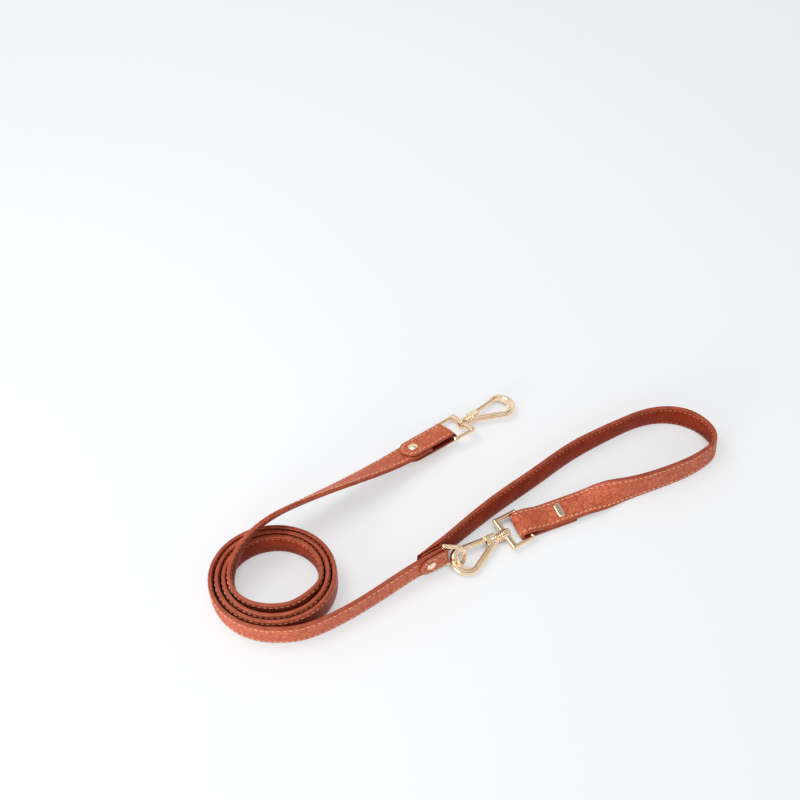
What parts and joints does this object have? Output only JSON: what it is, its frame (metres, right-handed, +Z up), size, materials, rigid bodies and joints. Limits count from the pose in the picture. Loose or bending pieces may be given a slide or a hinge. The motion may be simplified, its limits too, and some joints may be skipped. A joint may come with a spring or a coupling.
{
  "type": "dog training leash",
  "caption": "Embossed leather training leash, laid out with its spare length coiled on edge, a swivel snap hook at each end and one hook clipped to a ring to close a hand loop",
  "frame": {"origin": "on the table, under the middle of the laid-out leash", "axes": "+Z up from the table; +X from the coil towards the bend of the handle, along the longest extent; +Y away from the viewer, towards the free snap hook"},
  "size_m": [0.3887, 0.2177, 0.043],
  "materials": {
    "embossed_leather": "cognac leather with a reptile emboss, pale edge stitching and painted edges",
    "lining_leather": "smooth red-brown lining leather, satin",
    "gold_hardware": "polished pale gold plating",
    "steel_pins": "fine brushed, warm tint"
  },
  "bodies": {
    "leash": {"main_strap_ring_run_outer": "embossed_leather", "main_strap_coil": "embossed_leather", "main_strap_hook_run_outer": "embossed_leather", "handle_strap_outer": "embossed_leather", "handle_end_fold_outer": "embossed_leather", "ring_tab": "embossed_leather", "hook_a_tab": "embossed_leather", "main_strap_ring_run_lining": "lining_leather", "main_strap_hook_run_lining": "lining_leather", "handle_strap_lining": "lining_leather", "handle_end_fold_lining": "lining_leather", "ring_rivet_cap": "gold_hardware", "ring_rivet_socket": "gold_hardware", "hook_a_rivet_cap": "gold_hardware", "hook_a_rivet_socket": "gold_hardware", "handle_stud": "gold_hardware"},
    "ring": {"d_ring": "gold_hardware"},
    "swivel_eye_a": {"eye_a": "gold_hardware"},
    "snap_hook_a": {"hook_a": "gold_hardware", "hook_washer_a": "gold_hardware", "gate_pin_a": "steel_pins", "gate_spring_a": "steel_pins"},
    "snap_gate_a": {"gate_a": "gold_hardware"},
    "swivel_eye_b": {"eye_b": "gold_hardware"},
    "snap_hook_b": {"hook_b": "gold_hardware", "hook_washer_b": "gold_hardware", "gate_pin_b": "steel_pins", "gate_spring_b": "steel_pins"},
    "snap_gate_b": {"gate_b": "gold_hardware"}
  },
  "joints": [
    {"name": "d_ring_swing", "type": "hinge", "parent": "leash", "child": "ring", "pos_m": [-0.02511, -0.04537, 0.0135], "axis": [-0.009, 0.015, 0.9998], "range_deg": [-4, 10]},
    {"name": "eye_a_swing", "type": "hinge", "parent": "leash", "child": "swivel_eye_a", "pos_m": [-0.02059, 0.06757, 0.00897], "axis": [-0.5812, 0.7389, -0.341], "range_deg": [-100, 100]},
    {"name": "hook_a_swivel", "type": "hinge", "parent": "swivel_eye_a", "child": "snap_hook_a", "pos_m": [-0.00697, 0.07767, 0.00766], "axis": [0.8007, 0.5941, -0.0775], "continuous": true},
    {"name": "gate_a_press", "type": "hinge", "parent": "snap_hook_a", "child": "snap_gate_a", "pos_m": [0.0012, 0.08768, 0.00624], "axis": [-0.0213, 0.1575, 0.9873], "range_deg": [-20, 0], "stiffness_Nm_per_rad": 0.008, "springref_deg": 28.65},
    {"name": "eye_b_swing", "type": "hinge", "parent": "leash", "child": "swivel_eye_b", "pos_m": [0.036, -0.0147, 0.0054], "axis": [-0.515, 0.8572, 0], "range_deg": [-0.3, 5]},
    {"name": "hook_b_swivel", "type": "hinge", "parent": "swivel_eye_b", "child": "snap_hook_b", "pos_m": [0.02143, -0.02345, 0.0057], "axis": [-0.857, -0.515, 0.0175], "range_deg": [-3, 15]},
    {"name": "gate_b_press", "type": "hinge", "parent": "snap_hook_b", "child": "snap_gate_b", "pos_m": [0.00903, -0.02725, 0.00658], "axis": [-0.1217, 0.1694, -0.978], "range_deg": [-20, 0], "stiffness_Nm_per_rad": 0.008, "springref_deg": 28.65}
  ]
}
